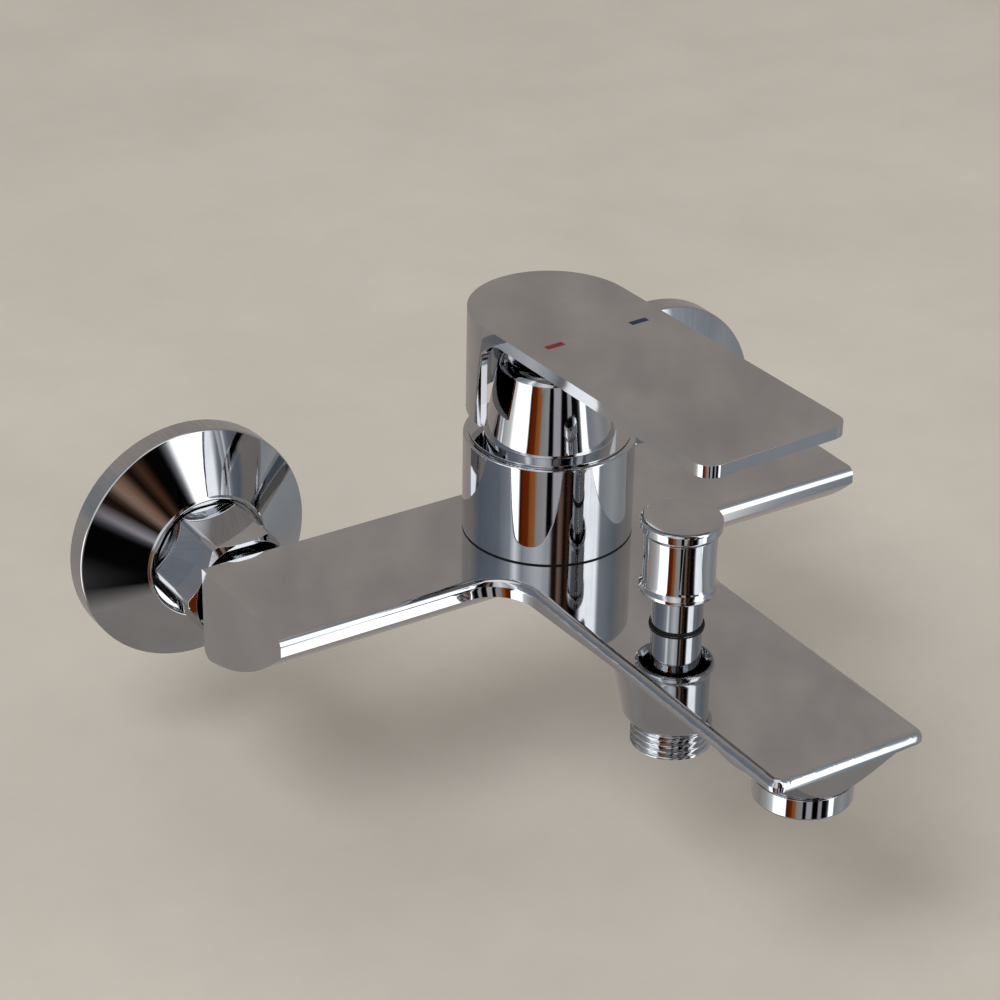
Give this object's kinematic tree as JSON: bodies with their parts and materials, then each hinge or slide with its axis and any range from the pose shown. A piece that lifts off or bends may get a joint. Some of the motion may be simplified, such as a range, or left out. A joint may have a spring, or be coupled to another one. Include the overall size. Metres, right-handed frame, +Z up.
{
  "type": "wall mounted bath mixer",
  "caption": "Chrome wall mounted bath and shower mixer: cross arm on two wall unions, flat spout, blade lever over a round cartridge tower, pull-up diverter and threaded shower outlet.",
  "frame": {"origin": "on the wall, midway between the axes of the two supply pipes", "axes": "+Z up; +Y into the wall, so the mixer stands out towards -Y; +X to the right of a person facing the wall"},
  "size_m": [0.2164, 0.209, 0.1082],
  "materials": {
    "chrome": "polished chrome plate",
    "brass": "turned brass",
    "steel": "spring steel",
    "rubber": "black seal rubber",
    "white_plastic": "moulded acetal",
    "grey_plastic": "moulded plastic",
    "ceramic": "lapped ceramic",
    "hot_red": "enamel fill",
    "cold_blue": "enamel fill"
  },
  "bodies": {
    "mixer": {"mixer_body": "chrome", "cover_sleeve": "chrome", "dome_cap": "chrome", "diverter_bonnet": "chrome", "shower_outlet": "chrome", "aerator_housing": "chrome", "cap_grip_ring": "rubber", "sleeve_gasket": "rubber", "cartridge_ring_nut": "brass", "cartridge_housing": "white_plastic", "cartridge_base": "white_plastic", "port_seals": "rubber", "lower_ceramic_disc": "ceramic", "spindle_seal": "rubber", "neck_ring": "rubber", "aerator_insert": "white_plastic", "aerator_gasket": "rubber", "left_union": "brass", "left_escutcheon": "chrome", "left_union_nut": "chrome", "left_inlet_washer": "rubber", "left_inlet_tail": "chrome", "right_union": "brass", "right_escutcheon": "chrome", "right_union_nut": "chrome", "right_inlet_washer": "rubber", "right_inlet_tail": "chrome"},
    "turning_rotor": {"stem_guide": "grey_plastic", "stem_pin": "steel"},
    "lever_arm": {"lever": "chrome", "lever_set_screw": "steel", "hot_mark": "hot_red", "cold_mark": "cold_blue", "cartridge_stem": "brass"},
    "disc_pack": {"upper_ceramic_disc": "ceramic", "disc_carrier": "grey_plastic"},
    "diverter": {"diverter_spindle": "brass", "lower_valve_washer": "rubber", "valve_piston": "brass", "upper_valve_washer": "rubber", "spindle_nut": "brass", "diverter_spring": "steel", "diverter_knob": "chrome", "knob_cap": "chrome"}
  },
  "joints": [
    {"name": "lever_turn", "type": "hinge", "parent": "mixer", "child": "turning_rotor", "pos_m": [0, -0.0632, 0.0495], "axis": [0, 0, 1], "range_deg": [-52.4, 47.6]},
    {"name": "lever_lift", "type": "hinge", "parent": "turning_rotor", "child": "lever_arm", "pos_m": [0, -0.0632, 0.0495], "axis": [-0.9991, -0.0419, 0], "range_deg": [0, 15]},
    {"name": "disc_slide", "type": "slide", "parent": "turning_rotor", "child": "disc_pack", "axis": [0.0419, -0.9991, 0], "range_m": [0, 0.00472]},
    {"name": "diverter_pull", "type": "slide", "parent": "mixer", "child": "diverter", "axis": [0, 0, 1], "range_m": [0, 0.00745], "stiffness_N_per_m": 250, "springref_m": -0.006, "deforming": ["diverter_spring"]}
  ],
  "couplings": [
    {"joint": "disc_slide", "follows": "lever_lift", "m_per_rad": 0.01765}
  ]
}
